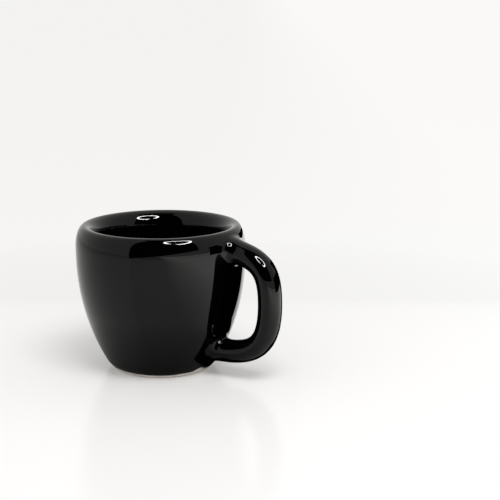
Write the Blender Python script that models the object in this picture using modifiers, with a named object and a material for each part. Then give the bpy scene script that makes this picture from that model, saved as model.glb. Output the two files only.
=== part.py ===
"""A small thick-walled espresso cup with a ring handle.

The clay body and the clay handle are separate castings, luted together by two joints of slip. A glass
coat covers the outside, another lines the inside and a third covers the recess under the foot.
All sizes are in metres, +Z is up, and the cup stands on z = 0 with its handle towards +X.
"""

from math import cos, pi, radians, sin, sqrt

import bmesh
import bpy
from mathutils import Matrix, Vector

# Outside of the finished cup, over the glaze
CUP_HEIGHT = 0.0555
BELLY_DIAMETER = 0.065
FOOT_DIAMETER = 0.0392
WALL_CURVE = 2.3
FOOT_TUCK = 0.0014
FOOT_TUCK_HEIGHT = 0.0035
LIP_OUTER_ROUND = 0.0034
LIP_OUTER_DEPTH = 0.008

# Inside of the finished cup
LIP_INNER_ROUND = 0.0047
LIP_INNER_DEPTH = 0.0062
WALL_THICKNESS = 0.0086
LIP_TAPER = 0.015
FLOOR_HEIGHT = 0.0065
WELL_ROUND = 0.009

# Foot ring, bare of glaze
FOOT_BAND = 0.0013
FOOT_CHAMFER = 0.0012
FOOT_RING_WIDTH = 0.0028
RECESS_DEPTH = 0.0016
RECESS_SLOPE = 0.0006

# Handle, over the glaze
HANDLE_STANDOFF = 0.0196
HANDLE_THICKNESS = 0.0087
HANDLE_WIDTH = 0.010
HANDLE_TOP_DROP = 0.0015
HANDLE_FOOT_CLEARANCE = 0.0055
ROOT_COVER = 0.0012
UPPER_ARM_ANGLE = radians(-13)
LOWER_ARM_ANGLE = radians(-4.5)
UPPER_ARM_REACH = 0.0142
UPPER_BEND_REACH = 0.0158
LOWER_BEND_REACH = 0.017
LOWER_ARM_REACH = 0.0197

# Slip fillets round the two roots of the handle
UPPER_FILLET = 0.0009
LOWER_FILLET = 0.0009
FILLET_REACH = 0.006
FILLET_DEPTH = 0.001
SLIP_EDGE = 0.0004
SLIP_PAD = 0.0008

# Coats and the seams between pieces
GLAZE_THICKNESS = 0.0004
SEAM = 0.0003

# Fineness of the facets
ROUND_STEPS = 48
LIP_STEPS = 5
WALL_STEPS = 7
TUCK_STEPS = 2
WELL_STEPS = 4
ROOT_STEPS = 6
PATH_STEPS = 18
SECTION_RESOLUTION = 6

# Sizes that follow from those above
BELLY_RADIUS = BELLY_DIAMETER / 2
FOOT_RADIUS = FOOT_DIAMETER / 2
BELLY_HEIGHT = CUP_HEIGHT - LIP_OUTER_DEPTH
CROWN_RADIUS = BELLY_RADIUS - LIP_OUTER_ROUND
LIP_THICKNESS = LIP_OUTER_ROUND + LIP_INNER_ROUND
MOUTH_HEIGHT = CUP_HEIGHT - LIP_INNER_DEPTH
CLAY_INSET = GLAZE_THICKNESS + SEAM
HANDLE_MIDDLE_RADIUS = BELLY_RADIUS + HANDLE_STANDOFF - HANDLE_THICKNESS / 2
UPPER_ROOT_HEIGHT = CUP_HEIGHT - HANDLE_TOP_DROP - HANDLE_THICKNESS / 2
LOWER_ROOT_HEIGHT = HANDLE_FOOT_CLEARANCE + HANDLE_THICKNESS / 2
# The middle of the whole cup, handle included, stands over the origin
AXIS_X = -HANDLE_STANDOFF / 2

UPPER, LOWER = 0.0, 1.0


def clear_scene():
    for old in list(bpy.data.objects):
        bpy.data.objects.remove(old)


def new_collection(name):
    collection = bpy.data.collections.new(name)
    bpy.context.scene.collection.children.link(collection)
    return collection


def new_material(name, colour, roughness):
    material = bpy.data.materials.new(name)
    material.use_nodes = True
    shader = material.node_tree.nodes["Principled BSDF"]
    shader.inputs["Base Color"].default_value = (*colour, 1.0)
    shader.inputs["Roughness"].default_value = roughness
    shader.inputs["Metallic"].default_value = 0.0
    material.diffuse_color = (*colour, 1.0)
    return material


def wall_radius(height):
    """Outer radius of the finished wall: upright at the belly, leaning in below, tucked in at the foot."""
    below = max(0.0, BELLY_HEIGHT - height) / BELLY_HEIGHT
    tuck = FOOT_TUCK * max(0.0, 1 - height / FOOT_TUCK_HEIGHT) ** 2
    return BELLY_RADIUS - (BELLY_RADIUS - FOOT_RADIUS) * below**WALL_CURVE - tuck


def well_radius(height):
    """Inner radius of the finished wall, which thickens from the lip over the length of its taper."""
    taper = max(0.0, 1 - (MOUTH_HEIGHT - height) / LIP_TAPER)
    return wall_radius(height) - WALL_THICKNESS + (WALL_THICKNESS - LIP_THICKNESS) * taper**2


def spread(start, end, steps):
    return [start + (end - start) * step / steps for step in range(steps + 1)]


def outer_line():
    """Radius and height down the outside, from the crown of the lip to the glaze line."""
    line = []
    for angle in spread(pi / 2, 0, LIP_STEPS):
        across = CROWN_RADIUS + LIP_OUTER_ROUND * cos(angle)
        line.append(Vector((across, BELLY_HEIGHT + LIP_OUTER_DEPTH * sin(angle))))
    heights = spread(BELLY_HEIGHT, FOOT_TUCK_HEIGHT, WALL_STEPS)[1:]
    heights += spread(FOOT_TUCK_HEIGHT, FOOT_BAND, TUCK_STEPS)[1:]
    for height in heights:
        line.append(Vector((wall_radius(height), height)))
    return line


def inner_line():
    """Radius and height down the inside, from the crown of the lip to the middle of the floor."""
    line = []
    for angle in spread(pi / 2, pi, LIP_STEPS):
        across = CROWN_RADIUS + LIP_INNER_ROUND * cos(angle)
        line.append(Vector((across, MOUTH_HEIGHT + LIP_INNER_DEPTH * sin(angle))))
    turn = FLOOR_HEIGHT + WELL_ROUND
    for height in spread(MOUTH_HEIGHT, turn, WALL_STEPS)[1:]:
        line.append(Vector((well_radius(height), height)))
    last = line[-1]
    lean = (last.x - line[-2].x) / (last.y - line[-2].y)
    corner = Vector((last.x - lean * WELL_ROUND, FLOOR_HEIGHT))
    level = Vector((corner.x - WELL_ROUND, FLOOR_HEIGHT))
    for share in spread(0, 1, WELL_STEPS)[1:]:
        line.append(last.lerp(corner, share).lerp(corner.lerp(level, share), share))
    line.append(Vector((0, FLOOR_HEIGHT)))
    return line


def inset(line, depth, side):
    """The line moved into the wall by depth. Side is 1 for the outer line and -1 for the inner one."""
    moved = []
    for index, point in enumerate(line):
        along = line[min(index + 1, len(line) - 1)] - line[max(index - 1, 0)]
        if index == 0:
            along = Vector((side, 0))
        if point.x == 0:
            along = Vector((-1, 0))
        along.normalize()
        moved.append(point + depth * side * Vector((along.y, -along.x)))
    return moved


def adopt(piece, collection, axis, material=None):
    collection.objects.link(piece)
    piece.parent = axis
    if material:
        piece.data.materials.append(material)
    return piece


def turned(name, profile, closed=False):
    """A solid of revolution. The profile runs down its outer side."""
    mesh = bpy.data.meshes.new(name)
    count = len(profile)
    edges = [(index, index + 1) for index in range(count - 1)]
    if closed:
        edges.append((count - 1, 0))
    mesh.from_pydata([(point.x, 0, point.y) for point in profile], edges, [])
    piece = bpy.data.objects.new(name, mesh)
    screw = piece.modifiers.new("turn", "SCREW")
    screw.axis = "Z"
    screw.steps = screw.render_steps = ROUND_STEPS
    screw.use_merge_vertices = True
    screw.merge_threshold = 0.00001
    return piece


def handle_point(share):
    """Radius and height of the handle's centre line, from the upper root at 0 to the lower root at 1.

    Both ends lie so deep in the wall that it covers the whole of their flared sections.
    """
    lowest = HANDLE_FOOT_CLEARANCE - LOWER_FILLET * (1 + FILLET_DEPTH / FILLET_REACH) ** 2
    upper = Vector((CROWN_RADIUS - ROOT_COVER, UPPER_ROOT_HEIGHT))
    lower = Vector((wall_radius(lowest) - ROOT_COVER, LOWER_ROOT_HEIGHT))
    middle = Vector((HANDLE_MIDDLE_RADIUS, (UPPER_ROOT_HEIGHT + LOWER_ROOT_HEIGHT) / 2))
    if share < 0.5:
        part = 2 * share
        ends = upper, middle
        arms = (
            upper + UPPER_ARM_REACH * Vector((cos(UPPER_ARM_ANGLE), sin(UPPER_ARM_ANGLE))),
            middle + Vector((0, UPPER_BEND_REACH)),
        )
    else:
        part = 2 * share - 1
        ends = middle, lower
        arms = (
            middle - Vector((0, LOWER_BEND_REACH)),
            lower + LOWER_ARM_REACH * Vector((cos(LOWER_ARM_ANGLE), sin(LOWER_ARM_ANGLE))),
        )
    rest = 1 - part
    return (
        rest**3 * ends[0]
        + 3 * rest**2 * part * arms[0]
        + 3 * rest * part**2 * arms[1]
        + part**3 * ends[1]
    )


def standoff(share):
    """How far the handle's centre line stands out from the wall."""
    point = handle_point(share)
    return point.x - wall_radius(point.y)


def flare(share):
    """How much the slip fillet adds to the handle's half thickness, limited by the lip above it."""
    near = max(0.0, 1 - max(-FILLET_DEPTH, standoff(share)) / FILLET_REACH)
    if share < 0.5:
        return min(UPPER_FILLET * near**2, HANDLE_TOP_DROP - CLAY_INSET)
    return LOWER_FILLET * near**2


def collar_end(root):
    """The share of the centre line at which the slip collar of this root thins to its edge."""
    inside, outside = root, 0.5
    for _ in range(30):
        middle = (inside + outside) / 2
        if flare(middle) > SEAM + SLIP_EDGE:
            inside = middle
        else:
            outside = middle
    return inside


def handle_stations():
    """Shares of the centre line at which every sweep has a section, so that coats and cores nest."""
    upper, lower = collar_end(UPPER), collar_end(LOWER)
    return [
        *spread(UPPER, upper, ROOT_STEPS),
        *spread(upper, lower, PATH_STEPS)[1:-1],
        *spread(lower, LOWER, ROOT_STEPS),
    ]


def swept(name, grow, first=UPPER, last=LOWER, fillets=True):
    """The handle's oval section, grown by a given amount, swept along a stretch of its centre line."""
    half_thickness = HANDLE_THICKNESS / 2 + grow
    half_width = HANDLE_WIDTH / 2 + grow
    curve = bpy.data.curves.new(name, "CURVE")
    curve.dimensions = "3D"
    curve.bevel_depth = half_thickness
    curve.bevel_resolution = SECTION_RESOLUTION
    curve.use_fill_caps = True
    stations = [share for share in handle_stations() if first <= share <= last]
    spline = curve.splines.new("POLY")
    spline.points.add(len(stations) - 1)
    for point, share in zip(spline.points, stations):
        place = handle_point(share)
        point.co = (place.x, 0, place.y, 1)
        point.radius = 1 + (flare(share) if fillets else 0.0) / half_thickness
    guide = bpy.data.objects.new(name, curve)
    bpy.context.scene.collection.objects.link(guide)
    graph = bpy.context.evaluated_depsgraph_get()
    mesh = bpy.data.meshes.new_from_object(guide.evaluated_get(graph))
    bpy.data.objects.remove(guide)
    mesh.transform(Matrix.Diagonal((1, half_width / half_thickness, 1, 1)))
    shape = bmesh.new()
    shape.from_mesh(mesh)
    bmesh.ops.remove_doubles(shape, verts=shape.verts, dist=0.000005)
    bmesh.ops.recalc_face_normals(shape, faces=shape.faces)
    shape.to_mesh(mesh)
    shape.free()
    mesh.name = name
    return bpy.data.objects.new(name, mesh)


def combine(piece, operation, other):
    boolean = piece.modifiers.new(f"{operation.lower()} {other.name}", "BOOLEAN")
    boolean.operation = operation
    boolean.solver = "EXACT"
    boolean.object = other


def make_cutter(piece, collection, axis):
    piece.hide_render = True
    piece.display_type = "WIRE"
    return adopt(piece, collection, axis)


def wall_plug(name, depth):
    """A solid filling of the outer wall, its surface at the given depth under the finished one."""
    line = inset(outer_line(), depth, 1)
    base = Vector((line[-1].x, 0))
    return turned(name, [Vector((0, line[0].y)), *line, base, Vector((0, 0))])


def smooth(piece):
    piece.data.shade_smooth()
    piece.data.set_sharp_from_angle(angle=radians(40))
    return piece


def make_body():
    inside = inset(inner_line(), CLAY_INSET, -1)
    outside = inset(outer_line(), CLAY_INSET, 1)
    sole = outside[-1].x - FOOT_CHAMFER
    ring = sole - FOOT_RING_WIDTH
    foot = [
        Vector((sole, 0)),
        Vector((ring, 0)),
        Vector((ring - RECESS_SLOPE, RECESS_DEPTH)),
        Vector((0, RECESS_DEPTH)),
    ]
    return turned("cup_body", [*reversed(inside[1:]), *outside, *foot])


def make_liner_glaze():
    shown = inner_line()
    back = inset(shown, GLAZE_THICKNESS, -1)
    for line in (shown, back):
        line[0].x -= SEAM / 2
    return turned("liner_glaze", [*reversed(shown), *back])


def make_outer_glaze():
    shown = outer_line()
    back = inset(shown, GLAZE_THICKNESS, 1)
    for line in (shown, back):
        line[0].x += SEAM / 2
    return turned("outer_glaze", [*shown, *reversed(back)], closed=True)


def make_base_glaze():
    clay_edge = inset(outer_line(), CLAY_INSET, 1)[-1].x
    edge = clay_edge - FOOT_CHAMFER - FOOT_RING_WIDTH - RECESS_SLOPE - SEAM
    top = RECESS_DEPTH - SEAM
    bottom = top - GLAZE_THICKNESS
    profile = [Vector((0, top)), Vector((edge, top)), Vector((edge, bottom)), Vector((0, bottom))]
    return turned("base_glaze", profile)


def main():
    clear_scene()
    parts = new_collection("espresso_cup")
    cutters = new_collection("cutters")
    clay = new_material("fired clay", (0.62, 0.55, 0.49), 0.85)
    slip = new_material("fired slip", (0.58, 0.51, 0.45), 0.9)
    glaze = new_material("black gloss glaze", (0.004, 0.004, 0.004), 0.05)

    axis = bpy.data.objects.new("cup_axis", None)
    parts.objects.link(axis)
    axis.location.x = AXIS_X

    adopt(smooth(make_body()), parts, axis, clay)
    adopt(smooth(make_liner_glaze()), parts, axis, glaze)
    adopt(smooth(make_base_glaze()), parts, axis, glaze)

    handle = adopt(swept("handle", -CLAY_INSET, fillets=False), parts, axis, clay)
    handle_stop = wall_plug("handle_stop", CLAY_INSET - SLIP_PAD - 2 * SEAM)
    combine(handle, "DIFFERENCE", make_cutter(handle_stop, cutters, axis))

    handle_socket = make_cutter(
        swept("handle_socket", SEAM - CLAY_INSET, fillets=False), cutters, axis
    )
    socket_floor = wall_plug("socket_floor", CLAY_INSET - SLIP_PAD - SEAM)
    combine(handle_socket, "DIFFERENCE", make_cutter(socket_floor, cutters, axis))
    slip_bed = make_cutter(wall_plug("slip_bed", CLAY_INSET - SEAM), cutters, axis)
    for name, first, last in (
        ("upper_slip_joint", UPPER, collar_end(UPPER)),
        ("lower_slip_joint", collar_end(LOWER), LOWER),
    ):
        collar = swept(name, -CLAY_INSET, first, last)
        adopt(collar, parts, axis, slip)
        combine(collar, "DIFFERENCE", slip_bed)
        combine(collar, "DIFFERENCE", handle_socket)

    handle_coat = make_cutter(swept("handle_coat", 0), cutters, axis)
    coat_stop = wall_plug("coat_stop", CLAY_INSET - SEAM / 2)
    combine(handle_coat, "DIFFERENCE", make_cutter(coat_stop, cutters, axis))
    coat_core = make_cutter(swept("coat_core", -GLAZE_THICKNESS), cutters, axis)
    outer_glaze = adopt(smooth(make_outer_glaze()), parts, axis, glaze)
    combine(outer_glaze, "UNION", handle_coat)
    combine(outer_glaze, "DIFFERENCE", coat_core)


main()
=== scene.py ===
"""The looks of a small black glazed espresso cup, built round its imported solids.

One coat of black glaze runs over the lip and the handle, from the floor of the well to a wavy line just
above the foot. Below that line the clay is bare. All lengths are in metres, in the frame of the solids.
"""

from contextlib import contextmanager
from math import cos, pi, radians, sin

import bmesh
import bpy
import numpy as np
from mathutils import Matrix, Vector
from mathutils.kdtree import KDTree


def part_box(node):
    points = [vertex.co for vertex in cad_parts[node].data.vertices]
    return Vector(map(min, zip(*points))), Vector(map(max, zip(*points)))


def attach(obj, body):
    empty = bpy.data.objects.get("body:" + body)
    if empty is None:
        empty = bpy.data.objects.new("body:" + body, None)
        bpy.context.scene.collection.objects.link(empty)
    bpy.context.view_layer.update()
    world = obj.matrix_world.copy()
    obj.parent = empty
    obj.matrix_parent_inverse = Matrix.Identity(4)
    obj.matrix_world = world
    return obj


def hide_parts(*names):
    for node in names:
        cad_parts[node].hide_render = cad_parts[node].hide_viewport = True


bl_info = {
    "name": "Espresso Cup",
    "version": (1, 0, 0),
    "blender": (4, 5, 0),
    "location": "3D View > Sidebar > Espresso Cup",
    "description": "Builds a black glazed espresso cup and the white stage that it stands on",
    "category": "Add Mesh",
}

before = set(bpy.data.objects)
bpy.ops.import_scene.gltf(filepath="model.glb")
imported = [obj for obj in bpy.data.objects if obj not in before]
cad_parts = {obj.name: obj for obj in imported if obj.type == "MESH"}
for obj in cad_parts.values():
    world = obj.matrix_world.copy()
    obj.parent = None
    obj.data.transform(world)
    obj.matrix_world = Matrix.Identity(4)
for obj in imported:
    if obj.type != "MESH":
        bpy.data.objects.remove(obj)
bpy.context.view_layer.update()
BODY = "root"
MILLIMETRE = 0.001

# Places that the solids fix
COAT_LOW, COAT_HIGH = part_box("outer_glaze")
WELL_LOW, WELL_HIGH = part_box("liner_glaze")
CLAY_LOW, CLAY_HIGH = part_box("cup_body")
AXIS_X = (CLAY_LOW.x + CLAY_HIGH.x) / 2
BELLY_RADIUS = COAT_HIGH.y
HANDLE_REACH = COAT_HIGH.x - AXIS_X
GLAZE = 0.4 * MILLIMETRE

# Fineness of the sections and meshes
LIP_POINTS = 60
WALL_POINTS = 160
WELL_POINTS = 60
CHAMFER_POINTS = 7
POOL_POINTS = 24
POOL_EDGE_POINTS = 13
TURN_STEPS = 192
OVAL_STEPS = 48
ARM_STEPS = 60
RING_STEPS = 96
TUBE_STEPS = 16
PATH_POINTS = 1200
VOXEL = 1.25 * MILLIMETRE
WELD = 0.001 * MILLIMETRE
MERGE = 0.005 * MILLIMETRE
SHARP_ANGLE = radians(40)

# How the coat's mesh is brought on to its true face
SETTLE_ROUNDS = 8
EVENING_ROUNDS = 6
EVENING_SHARE = 0.6
PRESS_ROUNDS = 3
LEAST_REACH = 1e-7
LEAST_SLOPE = 1e-9

# Ways across the table as the camera sees them: to the right, and away from it
TO_RIGHT = (1, 0)
TO_LEFT = (-1, 0)
AWAY = (0, 1)
CLOSER = (0, -1)
TABLE_EDGE_WAY = (-0.352, 1)
LEFT_GLOW_WAY = (-0.8, 0.6)

BLACK = (0, 0, 0)
WHITE = (1, 1, 1)

# The camera's sensor, in millimetres, and how far it sees
SENSOR_WIDTH = 36
FAR_CLIP = 100


def linear(code):
    """An sRGB hex colour as linear red, green and blue."""
    shares = [int(code[place : place + 2], 16) / 255 for place in (1, 3, 5)]
    return [share / 12.92 if share <= 0.04045 else ((share + 0.055) / 1.055) ** 2.4 for share in shares]


def number(description, *default, **options):
    """A setting with one value, or with several."""
    if len(default) == 1:
        return bpy.props.FloatProperty(description=description, default=default[0], **options)
    size = len(default)
    return bpy.props.FloatVectorProperty(description=description, default=default, size=size, **options)


def length(description, default):
    return number(description, default, min=0.0, unit="LENGTH", precision=5)


def lengths(description, *default):
    return number(description, *default, unit="LENGTH", precision=5)


def angle(description, default):
    return number(description, radians(default), subtype="ANGLE")


def colour(description, code):
    return number(description, *linear(code), subtype="COLOR", min=0.0, max=1.0)


def titled(group):
    """Labels the settings of a group after their names."""
    for name, setting in group.__annotations__.items():
        setting.keywords["name"] = name.replace("_", " ").title()
    return group


@titled
class CupSizes(bpy.types.PropertyGroup):
    """Sizes of the turned cup over its glaze, and of the bare foot."""

    height: length("From the table to the crown of the lip", WELL_HIGH.z)
    belly_radius: length("Widest outer radius", BELLY_RADIUS)
    foot_radius: length("Outer radius of the wall at the table", 0.0196)
    wall_curve: number("How late the wall leans in towards the foot", 2.3)
    foot_tuck: length("How far the wall tucks in at the table", 0.0014)
    tuck_height: length("Height at which the wall starts to tuck in", 0.0035)
    lip_outer_round: length("Width of the lip's outer rounding", 0.0034)
    lip_outer_depth: length("Height of the lip's outer rounding", 0.008)
    lip_inner_round: length("Width of the lip's inner rounding", 0.0047)
    lip_inner_depth: length("Height of the lip's inner rounding", 0.0062)
    wall_thickness: length("Thickness of the wall below the lip", 0.0086)
    lip_taper: length("Depth over which the wall thickens below the lip", 0.015)
    floor_height: length("From the table to the floor of the well", WELL_LOW.z + GLAZE)
    well_round: length("Rounding between the well's wall and its floor", 0.009)
    glaze_thickness: length("Thickness of the glaze coats", GLAZE)
    clay_gap: length("Play between the glaze and the clay under it", 0.00005)
    foot_band: length("Height of the bare clay at the foot", COAT_LOW.z)
    foot_chamfer: length("Width of the bevel round the foot", 0.0012)
    ring_width: length("Width of the flat that the cup stands on", 0.0028)
    recess_depth: length("Depth of the hollow under the foot", 0.0016)
    recess_slope: length("Width of the slope round that hollow", 0.0006)


@titled
class HandleSizes(bpy.types.PropertyGroup):
    """Sizes of the handle over its glaze, and of the soft joints at its roots."""

    thickness: length("Depth of the oval section, seen from the side", 0.0087)
    width: length("Width of the oval section, seen from the front", 0.010)
    upper_root: length("Height of the buried upper end's middle", 0.04965)
    lower_root: length("Height of the buried lower end's middle", 0.00985)
    upper_depth: length("Radius at which the upper end lies in the lip", 0.0279)
    lower_depth: length("Radius at which the lower end lies in the wall", 0.02092)
    upper_angle: angle("Slope at which the upper arm leaves the lip", -13)
    lower_angle: angle("Slope at which the lower arm leaves the wall", -4.5)
    upper_arm: length("How far the upper arm keeps its slope", 0.0142)
    upper_bend: length("How far the grip stays upright above its middle", 0.0158)
    lower_bend: length("How far the grip stays upright below its middle", 0.0170)
    lower_arm: length("How far the lower arm keeps its slope", 0.0197)
    upper_blend: length("Reach of the soft joint at the lip", 0.0055)
    lower_blend: length("Reach of the soft joint at the foot", 0.0055)
    blend_fade: length("Depth below the crown at which the soft joint is full", 0.004)


@titled
class FinishSettings(bpy.types.PropertyGroup):
    """Colours and gloss of the glaze and of the clay."""

    glaze_colour: colour("Black of the thick glaze", "#010101")
    glaze_thin: colour("Black of the glaze where it ran thinner", "#030202")
    glaze_roughness: number("Roughness of the fired gloss", 0.03)
    glaze_ior: number("Refraction of the glaze, matched to the dark reflections", 1.29)
    clay_colour: colour("Bare fired clay of the foot", "#e6dfd8")
    clay_dark: colour("Darker grit in the clay", "#b5a89c")
    clay_roughness: number("Roughness of the bare clay", 0.85)


@titled
class StageSettings(bpy.types.PropertyGroup):
    """The white table, its light, the camera and the things that show only in the glaze.

    Places and reaches are counted from the cup's axis as the camera sees them: right, away and up.
    """

    view_turn: angle("Turn of the camera round the cup", 30)
    view_pitch: angle("How far the camera looks down", 12.07)
    view_place: lengths("Where the camera stands", 0.03397, -0.5, 0.1521)
    view_lens: number("Focal length on a 36 mm sensor, in millimetres", 96.26)
    room_colour: colour("White of the room as it is seen", "#f8f7f5")
    floor_radius: length("Radius of the table and of the white behind it", 9.0)
    floor_edge: lengths("Where the table fades into the white behind it", 0.225, 0.235)
    floor_side: length("Distance to the right over which the white changes", 0.2)
    floor_colour: colour("White of the table", "#f6f5f3")
    # The table and the white behind it are painted lighter towards the right, where more light falls
    floor_left: colour("White of the table at the left", "#f8f7f5")
    floor_right: colour("White of the table at the right", "#fefefd")
    back_left: colour("White behind the table at the left", "#f8f7f5")
    back_right: colour("White behind the table at the right", "#fffefc")
    floor_ior: number("Refraction of the table's surface", 1.3)
    floor_roughness: number("Least and greatest roughness of the table", 0.16, 0.20)
    floor_shine: number("How clearly the table mirrors the cup", 0.25)
    shine_reach: lengths("Where that starts and is full, towards the camera", -0.1, 0.0)
    lift_share: number("Share of the white that no shadow reaches, near and far", 0.2, 0.9)
    lift_reach: lengths("Distances between which that share grows", 0.06, 0.25)
    # Painted shade round the foot, mirrored only in the glaze
    painted_foot_shade: number("How dark the glaze mirrors the table close to the foot", 0.68)
    foot_reach: lengths("Distances between which that shade fades", 0.02, 0.055)
    light_level: number("Strength of the soft light from all round", 0.6)
    key_level: number("Brightness of the soft box", 7.4)
    key_place: lengths("Where the soft box hangs", 0.12, -0.27, 0.53)
    key_size: length("Width of the soft box", 0.3)
    # The ring lamp lights nothing: it makes painted highlights in the glaze
    lamp_level: number("Brightness of the ring lamp", 90.0)
    lamp_place: lengths("Where the ring lamp hangs", 0.2, -0.288, 0.528)
    lamp_ring: length("Radius of the ring lamp", 0.148)
    lamp_tube: length("Radius of the ring lamp's tube", 0.0145)
    # Dark sheets that show only in the glaze, as painted dark reflections
    flag_sides: lengths("Left and right edges of the dark sheet before the cup", -0.31, 0.555)
    flag_low: lengths("Heights of that sheet's lower corners", 0.004, 0.165)
    flag_top: length("Height of that sheet's upper edge", 1.5)
    flag_reach: lengths("Reach of the dark top over the cup, from front to back", -0.4, 0.05)
    # The shade and the wall are dark sheets too, seen only as painted dark reflections
    shade_side: length("How far right the dark shade stands", 0.052)
    shade_reach: lengths("Reach of the dark shade from front to back", -0.020, 0.030)
    shade_height: length("Height of the dark shade", 0.052)
    wall_side: length("How far right the dark wall stands", 0.5)
    wall_reach: lengths("Reach of the dark wall from front to back", -0.19, 1.5)
    wall_height: length("Height of the dark wall", 0.16)
    # Painted light on the table, mirrored only in the glaze
    glow_level: number("Extra brightness of the mirrored table at the right", 1.6)
    glow_reach: lengths("Where that brightness grows, to the right", 0.03, 0.16)
    glow_left: number("Extra brightness of the mirrored table at the left", 0.15)
    glow_left_reach: lengths("Where that brightness grows, to the left", -0.014, -0.004)
    # Painted shade: a dark corner of the table under the handle, mirrored only in the glaze
    painted_shade_sides: lengths("Left and right edges of the dark corner under the handle", 0.0165, 0.056)
    painted_shade_reach: lengths("Reach of that corner from front to back", -0.0215, 0.03)
    painted_shade_fade: length("Width of that corner's soft edges", 0.002)


def wall_radius(cup, height):
    """Outer radius of the wall: upright at the belly, leaning in below it and tucked in at the foot."""
    belly_height = cup.height - cup.lip_outer_depth
    below = np.maximum(0.0, belly_height - height) / belly_height
    tuck = cup.foot_tuck * np.maximum(0.0, 1 - height / cup.tuck_height) ** 2
    return cup.belly_radius - (cup.belly_radius - cup.foot_radius) * below**cup.wall_curve - tuck


def oval_arc(middle, width, depth, start, end, count):
    """Radius and height along an arc of an oval, from one turn to another."""
    turn = np.linspace(start, end, count)
    return np.column_stack((middle[0] + width * np.cos(turn), middle[1] + depth * np.sin(turn)))


def outer_section(cup, lowest):
    """Radius and height down the outside, from the crown of the lip to the given height."""
    crown = cup.belly_radius - cup.lip_outer_round
    belly_height = cup.height - cup.lip_outer_depth
    top = (crown, belly_height)
    lip = oval_arc(top, cup.lip_outer_round, cup.lip_outer_depth, pi / 2, 0, LIP_POINTS)
    height = np.linspace(belly_height, lowest, WALL_POINTS)[1:]
    return np.vstack((lip, np.column_stack((wall_radius(cup, height), height))))


def inner_section(cup):
    """Radius and height down the inside, from the crown of the lip to the middle of the floor."""
    crown = cup.belly_radius - cup.lip_outer_round
    mouth_height = cup.height - cup.lip_inner_depth
    lip_thickness = cup.lip_outer_round + cup.lip_inner_round
    top = (crown, mouth_height)
    lip = oval_arc(top, cup.lip_inner_round, cup.lip_inner_depth, pi / 2, pi, LIP_POINTS)
    height = np.linspace(mouth_height, cup.floor_height + cup.well_round, WALL_POINTS)[1:]
    taper = np.maximum(0.0, 1 - (mouth_height - height) / cup.lip_taper)
    thickness = cup.wall_thickness - (cup.wall_thickness - lip_thickness) * taper**2
    wall = np.column_stack((wall_radius(cup, height) - thickness, height))
    lean = (wall[-1, 0] - wall[-2, 0]) / (wall[-1, 1] - wall[-2, 1])
    corner = np.array((wall[-1, 0] - lean * cup.well_round, cup.floor_height))
    level = corner - (cup.well_round, 0)
    share = np.linspace(0, 1, WELL_POINTS)[1:, None]
    well = (1 - share) ** 2 * wall[-1] + 2 * share * (1 - share) * corner + share**2 * level
    return np.vstack((lip, wall, well, [(0.0, cup.floor_height)]))


def section_normals(section):
    """Outward normals of a section that runs down its outer side, averaged at each point."""
    along = np.roll(section, -1, axis=0) - np.roll(section, 1, axis=0)
    along /= np.linalg.norm(along, axis=1)[:, None]
    return np.column_stack((-along[:, 1], along[:, 0]))


def inset(section, depth):
    """An open section moved into the wall. It runs down the outer side and up the inner one."""
    along = np.gradient(section, axis=0)
    along /= np.linalg.norm(along, axis=1)[:, None]
    return section + depth * np.column_stack((along[:, 1], -along[:, 0]))


def handle_route(handle):
    """Corners of the two curves that the handle follows, as radius and height, from top to bottom."""
    middle = np.array((HANDLE_REACH - handle.thickness / 2, (handle.upper_root + handle.lower_root) / 2))
    upper = np.array((handle.upper_depth, handle.upper_root))
    lower = np.array((handle.lower_depth, handle.lower_root))
    upper_way = np.array((cos(handle.upper_angle), sin(handle.upper_angle)))
    lower_way = np.array((cos(handle.lower_angle), sin(handle.lower_angle)))
    return (
        (upper, upper + handle.upper_arm * upper_way, middle + (0, handle.upper_bend), middle),
        (middle, middle - (0, handle.lower_bend), lower + handle.lower_arm * lower_way, lower),
    )


def handle_path(handle):
    """Points along the handle's centre line."""
    share = np.linspace(0, 1, PATH_POINTS // 2)[:, None]
    rest = 1 - share
    halves = [
        rest**3 * start + 3 * rest**2 * share * first + 3 * rest * share**2 * second + share**3 * end
        for start, first, second, end in handle_route(handle)
    ]
    return np.vstack((halves[0], halves[1][1:]))


def nearest_on_line(points, line, closed):
    """For each point, the nearest stretch of a finely divided line and the share of the way along it."""
    tree = KDTree(len(line))
    for index, (radius, height) in enumerate(line):
        tree.insert((radius, height, 0), index)
    tree.balance()
    corner = np.array([tree.find((radius, height, 0))[1] for radius, height in points])
    count = len(line) if closed else len(line) - 1
    after = corner % count if closed else np.minimum(corner, count - 1)
    before = (corner - 1) % count if closed else np.maximum(corner - 1, 0)
    shares, gaps = [], []
    for stretch in (before, after):
        span = line[(stretch + 1) % len(line)] - line[stretch]
        away = points - line[stretch]
        share = np.clip((away * span).sum(1) / (span**2).sum(1), 0, 1)
        shares.append(share)
        gaps.append(((away - share[:, None] * span) ** 2).sum(1))
    earlier = gaps[0] < gaps[1]
    return np.where(earlier, before, after), np.where(earlier, shares[0], shares[1])


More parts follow.
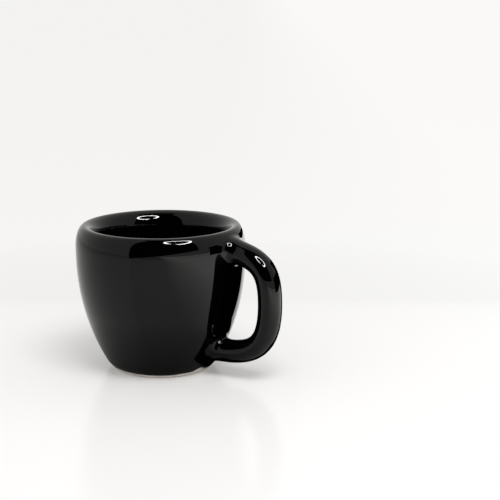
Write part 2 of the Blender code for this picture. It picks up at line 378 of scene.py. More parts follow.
class CoatSurface:
    """The outer face of the glaze as a field: zero on the face, positive outside it."""

    def __init__(self, cup, handle, sunk):
        self.handle = handle
        self.crown = cup.height
        outer = outer_section(cup, -sunk)
        self.outer_count = len(outer)
        self.section = np.vstack((outer, [(0.0, -sunk)], inner_section(cup)[:0:-1]))
        self.normals = section_normals(self.section)
        self.path = handle_path(handle)
        self.root_middle = (handle.upper_root + handle.lower_root) / 2

    def cup_field(self, points):
        """Distance from the turned cup, its direction, and the reach of the soft joint there."""
        flat = np.column_stack((np.hypot(points[:, 0] - AXIS_X, points[:, 1]), points[:, 2]))
        stretch, part = nearest_on_line(flat, self.section, closed=True)
        after = (stretch + 1) % len(self.section)
        place = self.section[stretch] + part[:, None] * (self.section[after] - self.section[stretch])
        normal = self.normals[stretch] + part[:, None] * (self.normals[after] - self.normals[stretch])
        normal /= np.linalg.norm(normal, axis=1)[:, None]
        distance = ((flat - place) * normal).sum(1)
        turn = np.arctan2(points[:, 1], points[:, 0] - AXIS_X)
        way = np.column_stack((normal[:, 0] * np.cos(turn), normal[:, 0] * np.sin(turn), normal[:, 1]))
        below = np.clip((self.crown - place[:, 1]) / self.handle.blend_fade, 0, 1)
        fade = np.where(stretch < self.outer_count, below**2 * (3 - 2 * below), 0.0)
        reach = np.where(
            place[:, 1] > self.root_middle, self.handle.upper_blend, self.handle.lower_blend
        )
        return distance, way, fade * reach

    def handle_field(self, points):
        """Distance from the swept handle and its direction. Its ends are rounded, inside the wall."""
        flat = np.column_stack((points[:, 0] - AXIS_X, points[:, 2]))
        stretch, part = nearest_on_line(flat, self.path, closed=False)
        span = self.path[stretch + 1] - self.path[stretch]
        away = flat - self.path[stretch] - part[:, None] * span
        along = span / np.linalg.norm(span, axis=1)[:, None]
        across = np.column_stack((along[:, 1], -along[:, 0]))
        half_thickness = self.handle.thickness / 2
        half_width = self.handle.width / 2
        end_round = MILLIMETRE
        rise = (away * across).sum(1)
        past = (away * along).sum(1)
        side = points[:, 1]
        shape = np.sqrt((rise / half_thickness) ** 2 + (side / half_width) ** 2 + (past / end_round) ** 2)
        slopes = np.column_stack((rise / half_thickness**2, side / half_width**2, past / end_round**2))
        steep = np.maximum(np.linalg.norm(slopes, axis=1), LEAST_SLOPE)
        distance = (shape - 1) * shape / steep
        slopes /= steep[:, None]
        plane = slopes[:, :1] * across + slopes[:, 2:] * along
        return distance, np.column_stack((plane[:, 0], slopes[:, 1], plane[:, 1]))

    def field(self, points):
        """Distance from the whole coat, with the handle's roots softly joined, and its direction."""
        cup_distance, cup_way, reach = self.cup_field(points)
        handle_distance, handle_way = self.handle_field(points)
        reach = np.maximum(reach, LEAST_REACH)
        overlap = np.maximum(reach - np.abs(cup_distance - handle_distance), 0) / reach
        lesser = np.minimum(cup_distance, handle_distance)
        share = np.where(cup_distance < handle_distance, 1 - overlap**2 / 2, overlap**2 / 2)[:, None]
        way = share * cup_way + (1 - share) * handle_way
        return lesser - overlap**3 * reach / 6, way

    def normals_at(self, points):
        """Unit normals of the coat, from small steps across its field."""
        step = 0.02 * MILLIMETRE
        slopes = np.zeros_like(points)
        for axis in range(3):
            shift = np.zeros(3)
            shift[axis] = step
            slopes[:, axis] = self.field(points + shift)[0] - self.field(points - shift)[0]
        return slopes / np.linalg.norm(slopes, axis=1)[:, None]


def fill_inputs(tree, node, inputs):
    """Fills a node's inputs with values or with links from other nodes."""
    for socket, value in dict(inputs).items():
        if isinstance(value, bpy.types.NodeSocket):
            tree.links.new(value, node.inputs[socket])
        else:
            node.inputs[socket].default_value = value


def add_node(tree, kind, inputs=(), **settings):
    """Adds a node with its settings and its inputs."""
    node = tree.nodes.new(kind)
    for name, value in settings.items():
        setattr(node, name, value)
    fill_inputs(tree, node, inputs)
    return node


def new_tree(name, sizes):
    """A geometry tree with named inputs, and its input and output nodes."""
    tree = bpy.data.node_groups.new(name, "GeometryNodeTree")
    tree.interface.new_socket("Geometry", in_out="INPUT", socket_type="NodeSocketGeometry")
    for label, kind in sizes.items():
        tree.interface.new_socket(label, in_out="INPUT", socket_type=kind)
    tree.interface.new_socket("Geometry", in_out="OUTPUT", socket_type="NodeSocketGeometry")
    return tree, add_node(tree, "NodeGroupInput").outputs


def add_geometry(tree, kind, inputs, **settings):
    """Adds a geometry node and gives its first output."""
    return add_node(tree, "GeometryNode" + kind, inputs, **settings).outputs[0]


def close_tree(tree, geometry, material):
    realized = add_geometry(tree, "RealizeInstances", {"Geometry": geometry})
    finish = add_geometry(tree, "SetMaterial", {"Geometry": realized, "Material": material})
    add_node(tree, "NodeGroupOutput", {"Geometry": finish})
    return tree


def turning_tree():
    """Turns the section that it is given round the circle of the lip's crown."""
    sizes = {
        "Crown Radius": "NodeSocketFloat",
        "Axis": "NodeSocketVector",
        "Steps": "NodeSocketInt",
        "Merge": "NodeSocketFloat",
        "Finish": "NodeSocketMaterial",
    }
    tree, given = new_tree("Turned Section", sizes)
    section = add_geometry(tree, "MeshToCurve", {"Mesh": given["Geometry"]})
    ring = {"Resolution": given["Steps"], "Radius": given["Crown Radius"]}
    circle = add_geometry(tree, "CurvePrimitiveCircle", ring, mode="RADIUS")
    turned = add_geometry(tree, "CurveToMesh", {"Curve": circle, "Profile Curve": section})
    merged = add_geometry(tree, "MergeByDistance", {"Geometry": turned, "Distance": given["Merge"]})
    placed = add_geometry(tree, "Transform", {"Geometry": merged, "Translation": given["Axis"]})
    return close_tree(tree, placed, given["Finish"])


HANDLE_CORNERS = (
    ("Upper Root", "Upper Arm", "Upper Bend", "Middle"),
    ("Middle", "Lower Bend", "Lower Arm", "Lower Root"),
)


def handle_tree():
    """Sweeps the handle's oval section along its two curves and adds it to the cup that it is given."""
    sizes = {name: "NodeSocketVector" for names in HANDLE_CORNERS for name in names}
    sizes |= {
        "Width": "NodeSocketFloat",
        "Thickness": "NodeSocketFloat",
        "Axis": "NodeSocketVector",
        "Finish": "NodeSocketMaterial",
    }
    tree, given = new_tree("Handle Sweep", sizes)
    unit = {"Resolution": OVAL_STEPS, "Radius": 0.5}
    oval = add_geometry(tree, "CurvePrimitiveCircle", unit, mode="RADIUS")
    sides = {"X": given["Width"], "Y": given["Thickness"], "Z": 1.0}
    spread = add_node(tree, "ShaderNodeCombineXYZ", sides).outputs[0]
    section = add_geometry(tree, "Transform", {"Geometry": oval, "Scale": spread})
    joined = add_node(tree, "GeometryNodeJoinGeometry", {0: given["Geometry"]})
    sockets = ("Start", "Start Handle", "End Handle", "End")
    for names in HANDLE_CORNERS:
        route = {socket: given[name] for socket, name in zip(sockets, names)}
        route["Resolution"] = ARM_STEPS
        curve = add_geometry(tree, "CurvePrimitiveBezierSegment", route, mode="POSITION")
        sweep = {"Curve": curve, "Profile Curve": section, "Fill Caps": True}
        arm = add_geometry(tree, "CurveToMesh", sweep)
        placed = add_geometry(tree, "Transform", {"Geometry": arm, "Translation": given["Axis"]})
        tree.links.new(placed, joined.inputs[0])
    return close_tree(tree, joined.outputs[0], given["Finish"])


def add_tree(piece, tree, values):
    """Puts a tree on a piece and sets the tree's inputs by their identifiers."""
    modifier = piece.modifiers.new(tree.name, "NODES")
    modifier.node_group = tree
    for item in tree.interface.items_tree:
        if item.in_out == "INPUT" and item.name in values:
            modifier[item.identifier] = values[item.name]


def link_object(name, data):
    """A new object of the scene with the given mesh or camera."""
    piece = bpy.data.objects.new(name, data)
    bpy.context.scene.collection.objects.link(piece)
    return piece


def section_object(name, section, crown_radius, closed):
    """The section as a line of edges, laid out for turning round the circle of the crown."""
    mesh = bpy.data.meshes.new(name)
    count = len(section)
    edges = [(index, index + 1) for index in range(count - 1)]
    if closed:
        edges.append((count - 1, 0))
    mesh.from_pydata([(radius - crown_radius, -height, 0) for radius, height in section], edges, [])
    return link_object(name, mesh)


def settled_mesh(piece):
    """Turns a piece's evaluated shape into its own plain mesh and removes its modifiers."""
    bpy.context.view_layer.update()
    graph = bpy.context.evaluated_depsgraph_get()
    mesh = bpy.data.meshes.new_from_object(piece.evaluated_get(graph))
    piece.modifiers.clear()
    piece.data = mesh
    mesh.name = piece.name
    return mesh


@contextmanager
def opened(mesh):
    """Opens a mesh for changes and writes them back."""
    shape = bmesh.new()
    shape.from_mesh(mesh)
    yield shape
    shape.to_mesh(mesh)
    shape.free()


def outward(mesh):
    """Merges doubles and points every face outwards."""
    with opened(mesh) as shape:
        bmesh.ops.remove_doubles(shape, verts=shape.verts, dist=WELD)
        bmesh.ops.recalc_face_normals(shape, faces=shape.faces)


def mesh_points(mesh):
    points = np.zeros(len(mesh.vertices) * 3)
    mesh.vertices.foreach_get("co", points)
    return points.reshape(-1, 3)


def move_points(mesh, points):
    mesh.vertices.foreach_set("co", points.ravel())
    mesh.update()


def glaze_line(turn):
    """How far the edge of the glaze strays up and down, by the turn round the cup from the handle."""
    waves = ((3, 0.10, 0.4), (5, 0.07, 2.1), (8, 0.06, 4.0), (13, 0.04, 1.2))
    stray = sum(height * np.cos(count * turn + start) for count, height, start in waves)
    fleck_height = 1.5
    fleck_turn = radians(-14)
    fleck_width = radians(7)
    fleck = fleck_height * np.exp(-(((turn - fleck_turn) / fleck_width) ** 2))
    return MILLIMETRE * (stray + fleck)


def settle(mesh, surface):
    """Moves a rough mesh on to the coat's true face, evening out its faces on the way."""
    points = mesh_points(mesh)
    ends = np.zeros(len(mesh.edges) * 2, int)
    mesh.edges.foreach_get("vertices", ends)
    first, second = ends.reshape(-1, 2).T
    counts = np.bincount(ends, minlength=len(points))[:, None]
    for round_number in range(SETTLE_ROUNDS):
        distance, way = surface.field(points)
        points -= distance[:, None] * way
        if round_number < EVENING_ROUNDS:
            around = np.zeros_like(points)
            np.add.at(around, first, points[second])
            np.add.at(around, second, points[first])
            shift = around / counts - points
            normal = way / np.linalg.norm(way, axis=1)[:, None]
            points += EVENING_SHARE * (shift - (shift * normal).sum(1)[:, None] * normal)
    move_points(mesh, points)


def refine(mesh, surface, lip_height, bend_height):
    """Halves the faces of the lip and of the handle above the given heights, on the coat's true face."""
    points = mesh_points(mesh)
    out = np.hypot(points[:, 0] - AXIS_X, points[:, 1]) > BELLY_RADIUS + MILLIMETRE
    chosen = (points[:, 2] > lip_height) | (out & (points[:, 2] > bend_height))
    with opened(mesh) as shape:
        edges = [edge for edge in shape.edges if all(chosen[vert.index] for vert in edge.verts)]
        bmesh.ops.subdivide_edges(shape, edges=edges, cuts=1, use_grid_fill=True)
    points = mesh_points(mesh)
    added = points[len(chosen) :]
    for _ in range(PRESS_ROUNDS):
        distance, way = surface.field(added)
        added -= distance[:, None] * way
    move_points(mesh, points)


def add_lining(mesh, lining):
    """Closes the coat with its inner face and with the rim along the edge of the glaze."""
    with opened(mesh) as shape:
        loops = [edge.link_loops[0] for edge in shape.edges if edge.is_boundary]
        rim = [(loop.vert.index, loop.link_loop_next.vert.index) for loop in loops]
        count = len(shape.verts)
        shape.from_mesh(lining)
        shape.verts.ensure_lookup_table()
        for first, second in rim:
            corners = (second, first, first + count, second + count)
            shape.faces.new([shape.verts[index] for index in corners])


def cut_at_glaze_line(mesh, height):
    """Removes what lies below the wavy edge of the glaze."""
    with opened(mesh) as shape:
        strays = glaze_line(np.array([np.arctan2(vert.co.y, vert.co.x - AXIS_X) for vert in shape.verts]))
        for vert, stray in zip(shape.verts, strays):
            vert.co.z -= stray
        bmesh.ops.bisect_plane(
            shape,
            geom=[*shape.verts, *shape.edges, *shape.faces],
            plane_co=(0, 0, height),
            plane_no=(0, 0, 1),
            clear_inner=True,
        )
        for vert in shape.verts:
            vert.co.z += float(glaze_line(np.arctan2(vert.co.y, vert.co.x - AXIS_X)))


def patterned(name):
    """A new material: its tree, its shader and its Object coordinates."""
    material = bpy.data.materials.new(name)
    material.use_nodes = True
    tree = material.node_tree
    place = add_node(tree, "ShaderNodeTexCoord").outputs["Object"]
    return material, tree, tree.nodes["Principled BSDF"], place


def add_math(tree, operation, *values):
    """The result of a sum of the given kind."""
    return add_node(tree, "ShaderNodeMath", enumerate(values), operation=operation).outputs[0]


def add_range(tree, value, start, end, first=0.0, last=1.0):
    """A value that goes from a first to a last level between a start and an end."""
    ends = {"Value": value, "From Min": start, "From Max": end, "To Min": first, "To Max": last}
    return add_node(tree, "ShaderNodeMapRange", ends).outputs["Result"]


def add_mix(tree, share, first, second):
    """The colour between two colours, given as values or as links."""
    ends = [end if isinstance(end, bpy.types.NodeSocket) else (*end, 1) for end in (first, second)]
    inputs = {"Factor": share, 6: ends[0], 7: ends[1]}
    return add_node(tree, "ShaderNodeMix", inputs, data_type="RGBA").outputs[2]


def add_noise(tree, place, size, detail):
    """A soft noise with spots of the given size."""
    inputs = {"Vector": place, "Scale": 1 / size, "Detail": detail}
    return add_node(tree, "ShaderNodeTexNoise", inputs).outputs["Fac"]


def add_bump(tree, height, depth):
    """The normals of a pattern that stands out by the given depth."""
    inputs = {"Strength": 1.0, "Distance": depth, "Height": height}
    return add_node(tree, "ShaderNodeBump", inputs).outputs["Normal"]


def black_gloss_glaze(finish):
    """A thick lead-free black glaze, fired glossy: a deep black glass skin that mirrors the room.

    It lies a little uneven, so that reflections have slightly wavering edges, and its black is not
    quite even where it ran thinner.
    """
    material, tree, shader, place = patterned("black_gloss_glaze")
    run_size = 14 * MILLIMETRE
    haze_size = 4 * MILLIMETRE
    haze_swing = 0.3
    ripple_size = 7 * MILLIMETRE
    ripple_depth = 0.004 * MILLIMETRE
    runs = add_noise(tree, place, run_size, 3.0)
    haze = add_noise(tree, place, haze_size, 4.0)
    ripple = add_noise(tree, place, ripple_size, 1.0)
    smooth = (1 - haze_swing) * finish.glaze_roughness
    rough = (1 + haze_swing) * finish.glaze_roughness
    look = {
        "Base Color": add_mix(tree, runs, finish.glaze_colour, finish.glaze_thin),
        "Roughness": add_range(tree, haze, 0.0, 1.0, smooth, rough),
        "IOR": finish.glaze_ior,
        "Normal": add_bump(tree, ripple, ripple_depth),
    }
    fill_inputs(tree, shader, look)
    return material


def bare_stoneware(finish):
    """Bare fired stoneware clay: matt, pale and sandy to the eye, with darker grit in it."""
    material, tree, shader, place = patterned("bare_stoneware")
    blotch_size = 2.5 * MILLIMETRE
    blotch_range = (0.35, 0.75)
    blotch_depth = 0.5
    # Real grit is about 0.1 mm. It is drawn at 0.4 mm, as coarse as it needs to show.
    grit_size = 0.4 * MILLIMETRE
    grit_range = (0.58, 0.72)
    grit_depth = 0.06 * MILLIMETRE
    blotch = add_noise(tree, place, blotch_size, 4.0)
    grit = add_noise(tree, place, grit_size, 2.0)
    specks = add_range(tree, grit, *grit_range)
    stain = add_range(tree, blotch, *blotch_range, 0.0, blotch_depth)
    most = add_math(tree, "MAXIMUM", specks, stain)
    look = {
        "Base Color": add_mix(tree, most, finish.clay_colour, finish.clay_dark),
        "Roughness": finish.clay_roughness,
        "Normal": add_bump(tree, grit, grit_depth),
    }
    fill_inputs(tree, shader, look)
    return material


def finish_material(maker):
    """One material of each kind, shared by the pieces that have it."""
    return bpy.data.materials.get(maker.__name__) or maker(bpy.context.scene.cup_finish)


def turned_piece(name, section, closed, material):
    """A finished solid of revolution about the cup's axis."""
    cup = bpy.context.scene.cup_sizes
    crown = cup.belly_radius - cup.lip_outer_round
    piece = section_object(name, section, crown, closed)
    tree = bpy.data.node_groups.get("Turned Section") or turning_tree()
    values = {"Crown Radius": crown, "Axis": (AXIS_X, 0.0, 0.0), "Steps": TURN_STEPS}
    values |= {"Merge": MERGE, "Finish": material}
    add_tree(piece, tree, values)
    return piece


def place_piece(piece, slot, *nodes):
    """Rides a finished piece on the cup, shades it smooth and hides the solids that it stands for."""
    piece.data.shade_smooth()
    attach(piece, BODY)
    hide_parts(*nodes)


class CupGlazeCoat(bpy.types.Operator):
    """Make the one coat of glaze over the well, the lip, the outside and the handle"""

    bl_idname = "object.cup_glaze_coat"
    bl_label = "Glaze Coat"

    def execute(self, context):
        cup = context.scene.cup_sizes
        handle = context.scene.cup_handle
        glaze = finish_material(black_gloss_glaze)
        sunk = 2 * MILLIMETRE
        surface = CoatSurface(cup, handle, sunk)
        piece = turned_piece("glaze_coat", surface.section, True, glaze)
        corners = zip(HANDLE_CORNERS, handle_route(handle))
        places = [pair for names, route in corners for pair in zip(names, route)]
        values = {name: (radius, 0.0, height) for name, (radius, height) in places}
        values |= {"Width": handle.width, "Thickness": handle.thickness}
        values |= {"Axis": (AXIS_X, 0.0, 0.0), "Finish": glaze}
        add_tree(piece, handle_tree(), values)
        remesh = piece.modifiers.new("even faces", "REMESH")
        remesh.mode = "VOXEL"
        remesh.voxel_size = VOXEL
        mesh = settled_mesh(piece)
        settle(mesh, surface)
        cut_at_glaze_line(mesh, cup.foot_band)
        lining = mesh.copy()
        normals = surface.normals_at(mesh_points(lining))
        move_points(lining, mesh_points(lining) - cup.glaze_thickness * normals)
        lining.flip_normals()
        refine(mesh, surface, cup.height - cup.lip_outer_depth, 0.0)
        refine(mesh, surface, cup.height - cup.lip_inner_depth, handle.upper_root - handle.upper_arm)
        normals = np.vstack((surface.normals_at(mesh_points(mesh)), -normals))
        add_lining(mesh, lining)
        bpy.data.meshes.remove(lining)
        mesh.shade_smooth()
        mesh.normals_split_custom_set_from_vertices(normals)
        mesh.materials.clear()
        mesh.materials.append(glaze)
        place_piece(piece, "black_glaze", "outer_glaze", "liner_glaze")
        return {"FINISHED"}


class CupClayBody(bpy.types.Operator):
    """Make the clay body, which shows at the bare foot ring"""

    bl_idname = "object.cup_clay_body"
    bl_label = "Clay Body"

    def execute(self, context):
        cup = context.scene.cup_sizes
        depth = cup.glaze_thickness + cup.clay_gap
        outside = inset(outer_section(cup, cup.foot_chamfer), depth)
        inside = inset(inner_section(cup)[::-1], depth)
        sole = outside[-1, 0] - cup.foot_chamfer
        ring = sole - cup.ring_width
        bevel = cup.foot_chamfer
        edge = oval_arc((sole, bevel), bevel, bevel, 0, -pi / 2, CHAMFER_POINTS)[1:]
        foot = [(ring, 0.0), (ring - cup.recess_slope, cup.recess_depth), (0.0, cup.recess_depth)]
        inside[0, 0] = 0.0
        section = np.vstack((inside[:-1], outside, edge, foot))
        material = finish_material(bare_stoneware)
        piece = turned_piece("clay_body", section, False, material)
        outward(settled_mesh(piece))
        place_piece(piece, "fired_clay", "cup_body")
        piece.data.set_sharp_from_angle(angle=SHARP_ANGLE)
        return {"FINISHED"}


class CupBaseGlaze(bpy.types.Operator):
    """Make the glaze that fills the hollow under the foot"""

    bl_idname = "object.cup_base_glaze"
    bl_label = "Base Glaze"

    def execute(self, context):
        low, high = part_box("base_glaze")
        radius = (high.x - low.x) / 2
        depth = high.z - low.z
        half = depth / 4
        sag = depth / 2
        edge = oval_arc((radius - half, high.z - half), half, half, pi / 2, -pi / 2, POOL_EDGE_POINTS)
        share = 1 - np.linspace(0, 1, POOL_POINTS)[1:]
        under = np.column_stack(((radius - half) * share, high.z - 2 * half - sag * (1 - share**2)))
        section = np.vstack(([(0.0, high.z)], edge, under))
        glaze = finish_material(black_gloss_glaze)
        piece = turned_piece("base_glaze_pool", section, False, glaze)
        outward(settled_mesh(piece))
        place_piece(piece, "black_glaze", "base_glaze")
        return {"FINISHED"}


class CupInnerClay(bpy.types.Operator):
    """Finish the clay handle and the slip joints that lie under the glaze"""

    bl_idname = "object.cup_inner_clay"
    bl_label = "Inner Clay"

    def execute(self, context):
        material = finish_material(bare_stoneware)
        for name in ("handle", "upper_slip_joint", "lower_slip_joint"):
            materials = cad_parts[name].data.materials
            materials.clear()
            materials.append(material)
        return {"FINISHED"}


def stage_place(stage, side, ahead, height):
    """A place by its distances from the cup's axis, as the camera sees them: right, away and up."""
    right = Vector((cos(stage.view_turn), sin(stage.view_turn), 0))
    away = Vector((-sin(stage.view_turn), cos(stage.view_turn), 0))
    return Vector((AXIS_X, 0, height)) + side * right + ahead * away


def stage_object(name, shape, material):
    """An object of the stage. Its shape is freed."""
    mesh = bpy.data.meshes.new(name)
    shape.to_mesh(mesh)
    shape.free()
    mesh.materials.append(material)
    piece = link_object(name, mesh)
    return piece


def show_only_mirrored(piece):
    """Lets an object show only in reflections."""
    piece.visible_camera = False
    piece.visible_diffuse = False
    piece.visible_shadow = False


def upright(first, second, height):
    """Corners of a sheet that stands on the table from one place to another."""
    return (*first, 0), (*second, 0), (*second, height), (*first, height)


def front_only(tree, surface):
    """Lets rays through from behind, so that a sheet shows only on its front."""
    behind = add_node(tree, "ShaderNodeNewGeometry").outputs["Backfacing"]
    clear = add_node(tree, "ShaderNodeBsdfTransparent").outputs[0]
    return add_node(tree, "ShaderNodeMixShader", {0: behind, 1: surface, 2: clear}).outputs[0]


def glowing(name, tone, strength, one_sided=False):
    """A material that only gives light, or none."""
    material = bpy.data.materials.new(name)
    material.use_nodes = True
    tree = material.node_tree
    tree.nodes.clear()
    light = add_node(tree, "ShaderNodeEmission", {"Color": (*tone, 1), "Strength": strength})
    surface = front_only(tree, light.outputs[0]) if one_sided else light.outputs[0]
    add_node(tree, "ShaderNodeOutputMaterial", {"Surface": surface})
    return material


class TableWhite:
    """Polished white acrylic sheet: even, bright, and faintly mirroring what stands on it."""

    def __init__(self, stage):
        self.stage = stage
        self.material, tree, shader, self.place = patterned("white_acrylic")
        self.tree = tree
        self.path = add_node(tree, "ShaderNodeLightPath").outputs
        ends = {0: self.place, 1: (AXIS_X, 0, 0)}
        self.distance = add_node(tree, "ShaderNodeVectorMath", ends, operation="DISTANCE").outputs["Value"]
        lift = self.add_lift()
        # Painted shade under the handle and round the foot, which only the glaze mirrors
        corner = self.add_painted_shade()
        lit = add_mix(tree, lift, stage.floor_colour, BLACK)
        haze_size = 60 * MILLIMETRE
        haze = add_noise(tree, self.place, haze_size, 2.0)
        shine = self.across(CLOSER, *stage.shine_reach, stage.floor_shine)
        look = {
            "Base Color": add_mix(tree, corner, lit, BLACK),
            "Roughness": add_range(tree, haze, 0.0, 1.0, *stage.floor_roughness),
            "IOR": stage.floor_ior,
            "Specular IOR Level": add_math(tree, "MULTIPLY", self.path["Is Camera Ray"], shine),
            "Emission Color": self.add_white(),
            "Emission Strength": add_math(tree, "ADD", lift, self.add_painted_glow(corner)),
        }
        fill_inputs(tree, shader, look)
        sheet = front_only(tree, shader.outputs[0])
        fill_inputs(tree, tree.nodes["Material Output"], {"Surface": sheet})

    def across(self, way, start, end, level=1.0):
        """A value that grows to the given level across the table, along a way seen from the camera."""
        middle = stage_place(self.stage, 0, 0, 0)
        direction = stage_place(self.stage, *way, 0) - middle
        sides = {0: self.place, 1: direction}
        along = add_node(self.tree, "ShaderNodeVectorMath", sides, operation="DOT_PRODUCT")
        shift = middle.dot(direction)
        return add_range(self.tree, along.outputs["Value"], start + shift, end + shift, 0.0, level)

    def add_lift(self):
        """The share of the table's white that no shadow reaches, as the camera sees it."""
        share = add_range(self.tree, self.distance, *self.stage.lift_reach, *self.stage.lift_share)
        return add_math(self.tree, "MULTIPLY", self.path["Is Camera Ray"], share)

    def add_painted_shade(self):
        """Painted shade that only the glaze mirrors: a dark corner of the table under the handle, and the
        shade round the foot.
        """
        stage = self.stage
        left, right = stage.painted_shade_sides
        front, back = stage.painted_shade_reach
        inside = self.path["Is Glossy Ray"]
        for way, start in ((TO_RIGHT, left), (TO_LEFT, -right), (AWAY, front), (CLOSER, -back)):
            part = self.across(way, start, start + stage.painted_shade_fade)
            inside = add_math(self.tree, "MULTIPLY", inside, part)
        fade = add_range(self.tree, self.distance, *stage.foot_reach, stage.painted_foot_shade, 0.0)
        shade = add_math(self.tree, "MULTIPLY", self.path["Is Glossy Ray"], fade)
        return add_math(self.tree, "MAXIMUM", inside, shade)

    def add_painted_glow(self, corner):
        """Painted light: extra brightness of the table that only the glaze mirrors, outside the painted
        shade.
        """
        stage = self.stage
        right = self.across(TO_RIGHT, *stage.glow_reach, stage.glow_level)
        left = self.across(LEFT_GLOW_WAY, *stage.glow_left_reach, stage.glow_left)
        sides = add_math(self.tree, "ADD", right, left)
        open_table = add_math(self.tree, "SUBTRACT", self.path["Is Glossy Ray"], corner)
        return add_math(self.tree, "MULTIPLY", open_table, sides)

    def add_white(self):
        """The white of the table and of what lies behind it, painted lighter from left to right."""
        stage = self.stage
        far = self.across(TABLE_EDGE_WAY, *stage.floor_edge)
        sideways = self.across(TO_RIGHT, 0.0, stage.floor_side)
        floor = add_mix(self.tree, sideways, stage.floor_left, stage.floor_right)
        back = add_mix(self.tree, sideways, stage.back_left, stage.back_right)
        return add_mix(self.tree, far, floor, back)


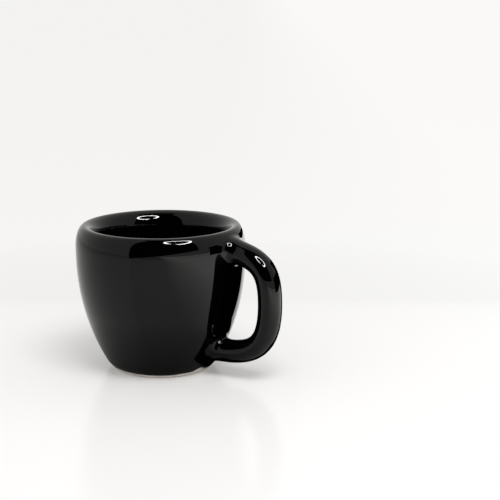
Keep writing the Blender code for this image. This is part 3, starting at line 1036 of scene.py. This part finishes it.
class CupStage(bpy.types.Operator):
    """Set the white table, the light, the dark and bright things that the glaze mirrors, and the camera"""

    bl_idname = "scene.cup_stage"
    bl_label = "Stage"

    def execute(self, context):
        stage = context.scene.cup_stage_settings
        self.add_floor(stage)
        self.add_light(context, stage)
        self.add_reflections(stage)
        self.add_lamp(stage)
        self.add_key(stage)
        self.add_camera(context, stage)
        context.scene.view_settings.view_transform = "Standard"
        return {"FINISHED"}

    def add_floor(self, stage):
        shape = bmesh.new()
        bmesh.ops.create_circle(shape, cap_ends=True, segments=RING_STEPS, radius=stage.floor_radius)
        stage_object("table", shape, TableWhite(stage).material)

    def add_light(self, context, stage):
        world = bpy.data.worlds.new("white_room")
        context.scene.world = world
        world.use_nodes = True
        tree = world.node_tree
        tree.nodes.clear()
        path = add_node(tree, "ShaderNodeLightPath").outputs
        direct = add_math(tree, "MAXIMUM", path["Is Camera Ray"], path["Is Glossy Ray"])
        shown = add_math(tree, "MAXIMUM", direct, path["Is Transmission Ray"])
        soft = add_node(tree, "ShaderNodeBackground", {"Color": (*WHITE, 1), "Strength": stage.light_level})
        seen = add_node(tree, "ShaderNodeBackground", {"Color": (*stage.room_colour, 1), "Strength": 1.0})
        lights = {0: shown, 1: soft.outputs[0], 2: seen.outputs[0]}
        both = add_node(tree, "ShaderNodeMixShader", lights)
        add_node(tree, "ShaderNodeOutputWorld", {"Surface": both.outputs[0]})

    def add_reflections(self, stage):
        """The dark sheets, which show only in the glaze as painted dark reflections. The shade stands edge
        on to the camera, and the wall out of its view.
        """
        left, right = stage.flag_sides
        low_left, low_right = stage.flag_low
        front, back = stage.flag_reach
        top = stage.flag_top
        upper = ((right, front, top), (left, front, top))
        flag = ((left, front, low_left), (right, front, low_right), *upper)
        roof = (*upper, (left, back, top), (right, back, top))
        lean = (stage.shade_side - stage.view_place[0]) / -stage.view_place[1]
        near, far = ((stage.shade_side + lean * ahead, ahead) for ahead in stage.shade_reach)
        shade = upright(far, near, stage.shade_height)
        near, far = ((stage.wall_side, ahead) for ahead in stage.wall_reach)
        wall = upright(near, far, stage.wall_height)
        dark = glowing("painted_black_reflection", BLACK, 0.0)
        lined = glowing("one_sided_painted_black", BLACK, 0.0, one_sided=True)
        sheets = {
            "dark_flag": (flag, dark),
            "dark_top": (roof, dark),
            "dark_shade": (shade, lined),
            "dark_wall": (wall, dark),
        }
        for name, (corners, dark_look) in sheets.items():
            sheet = bmesh.new()
            sheet.faces.new([sheet.verts.new(stage_place(stage, *corner)) for corner in corners])
            show_only_mirrored(stage_object(name, sheet, dark_look))

    def add_lamp(self, stage):
        """The ring lamp, which faces the lip of the cup. It lights nothing and shows only in the glaze, as
        painted highlights.
        """
        place = stage_place(stage, *stage.lamp_place)
        facing = place - Vector((AXIS_X, 0, WELL_HIGH.z))
        bpy.ops.mesh.primitive_torus_add(
            location=place,
            rotation=facing.to_track_quat("Z", "Y").to_euler(),
            major_segments=RING_STEPS,
            minor_segments=TUBE_STEPS,
            major_radius=stage.lamp_ring,
            minor_radius=stage.lamp_tube,
        )
        lamp = bpy.context.object
        lamp.name = "ring_lamp"
        lamp.data.materials.append(glowing("ring_light", WHITE, stage.lamp_level))
        show_only_mirrored(lamp)

    def add_key(self, stage):
        """The soft box above, which lights the table and throws the cup's soft shadow."""
        place = stage_place(stage, *stage.key_place)
        facing = place - Vector((AXIS_X, 0, 0))
        turned = facing.to_track_quat("Z", "Y").to_matrix().to_4x4()
        sheet = bmesh.new()
        bmesh.ops.create_grid(sheet, size=stage.key_size / 2, matrix=Matrix.Translation(place) @ turned)
        box = stage_object("soft_box", sheet, glowing("soft_light", WHITE, stage.key_level))
        show_only_mirrored(box)
        box.visible_diffuse = True
        box.visible_glossy = False

    def add_camera(self, context, stage):
        data = bpy.data.cameras.new("camera")
        data.lens = stage.view_lens
        data.sensor_width = SENSOR_WIDTH
        data.clip_end = FAR_CLIP
        camera = link_object("camera", data)
        camera.location = stage_place(stage, *stage.view_place)
        camera.rotation_euler = (pi / 2 - stage.view_pitch, 0, stage.view_turn)
        context.scene.camera = camera


class CupPanel(bpy.types.Panel):
    """Sizes, finishes and stage of the espresso cup"""

    bl_idname = "VIEW3D_PT_espresso_cup"
    bl_label = "Espresso Cup"
    bl_space_type = "VIEW_3D"
    bl_region_type = "UI"
    bl_category = "Espresso Cup"

    def draw(self, context):
        for name in SETTINGS:
            group = getattr(context.scene, name)
            box = self.layout.box()
            for item in group.bl_rna.properties:
                if item.identifier not in ("rna_type", "name"):
                    box.prop(group, item.identifier)
        for operator in OPERATORS:
            self.layout.operator(operator.bl_idname)


SETTINGS = {
    "cup_sizes": CupSizes,
    "cup_handle": HandleSizes,
    "cup_finish": FinishSettings,
    "cup_stage_settings": StageSettings,
}
OPERATORS = (CupGlazeCoat, CupClayBody, CupBaseGlaze, CupInnerClay, CupStage)
CLASSES = (*SETTINGS.values(), *OPERATORS, CupPanel)


def register():
    for group in CLASSES:
        bpy.utils.register_class(group)
    for name, group in SETTINGS.items():
        setattr(bpy.types.Scene, name, bpy.props.PointerProperty(type=group))


def unregister():
    for name in SETTINGS:
        delattr(bpy.types.Scene, name)
    for group in reversed(CLASSES):
        bpy.utils.unregister_class(group)


def main():
    register()
    bpy.ops.object.cup_glaze_coat()
    bpy.ops.object.cup_clay_body()
    bpy.ops.object.cup_base_glaze()
    bpy.ops.object.cup_inner_clay()
    bpy.ops.scene.cup_stage()


if __name__ == "__main__":
    main()
